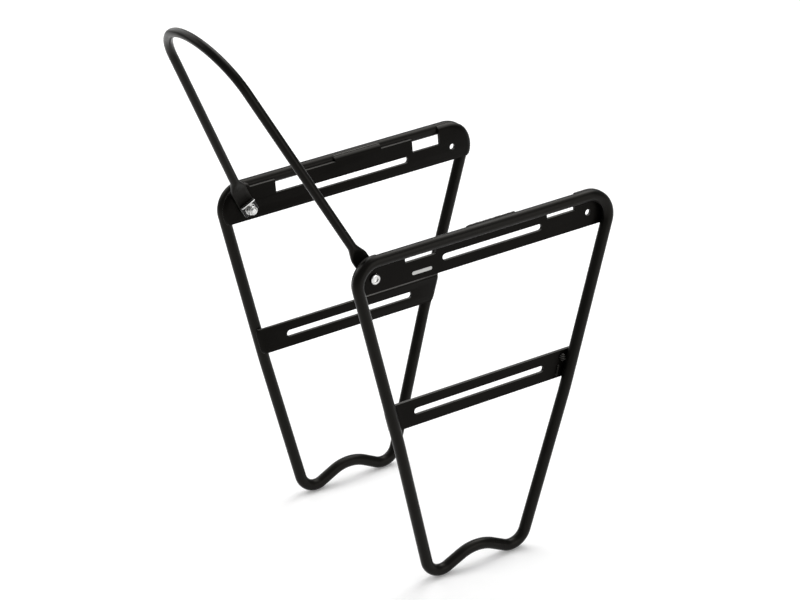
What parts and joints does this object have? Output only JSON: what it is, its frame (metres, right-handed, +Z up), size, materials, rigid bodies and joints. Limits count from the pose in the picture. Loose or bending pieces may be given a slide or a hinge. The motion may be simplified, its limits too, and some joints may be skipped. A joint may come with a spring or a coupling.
{
  "type": "bicycle low-rider pannier rack",
  "caption": "Folding front pannier rack: side frames of bent rod with slotted plates, joined by a pivoting hoop over the wheel.",
  "frame": {"origin": "on the floor under the middle of the whole rack, midway between the side frames and midway along its length", "axes": "+Z up, X across the bicycle wheel with the left side frame at +X, Y along the wheel with the hoop leaning towards -Y"},
  "size_m": [0.229, 0.3236, 0.485],
  "materials": {
    "frame_coat": "satin black powder coat on aluminium rod",
    "plate_coat": "satin black powder coat on aluminium sheet",
    "zinc_steel": "bright zinc plating",
    "nylon": "satin"
  },
  "bodies": {
    "left_frame": {"left_side_frame_rod": "frame_coat", "left_top_plate": "plate_coat", "left_cross_plate": "plate_coat"},
    "hoop": {"wheel_hoop": "frame_coat", "left_pivot_screw": "zinc_steel", "left_saddle_washer": "zinc_steel", "left_flat_washer": "zinc_steel", "left_lock_nut": "zinc_steel", "left_nut_nylon_ring": "nylon", "right_pivot_screw": "zinc_steel", "right_saddle_washer": "zinc_steel", "right_flat_washer": "zinc_steel", "right_lock_nut": "zinc_steel", "right_nut_nylon_ring": "nylon"},
    "right_frame": {"right_side_frame_rod": "frame_coat", "right_top_plate": "plate_coat", "right_cross_plate": "plate_coat"}
  },
  "joints": [
    {"name": "left_pivot", "type": "hinge", "parent": "left_frame", "child": "hoop", "pos_m": [0.1, -0.0668, 0.2811], "axis": [1, 0, 0], "range_deg": [-204.5, 65.5]},
    {"name": "right_pivot", "type": "hinge", "parent": "hoop", "child": "right_frame", "pos_m": [-0.1, -0.0668, 0.2811], "axis": [-1, 0, 0], "range_deg": [-204.5, 65.5]}
  ]
}
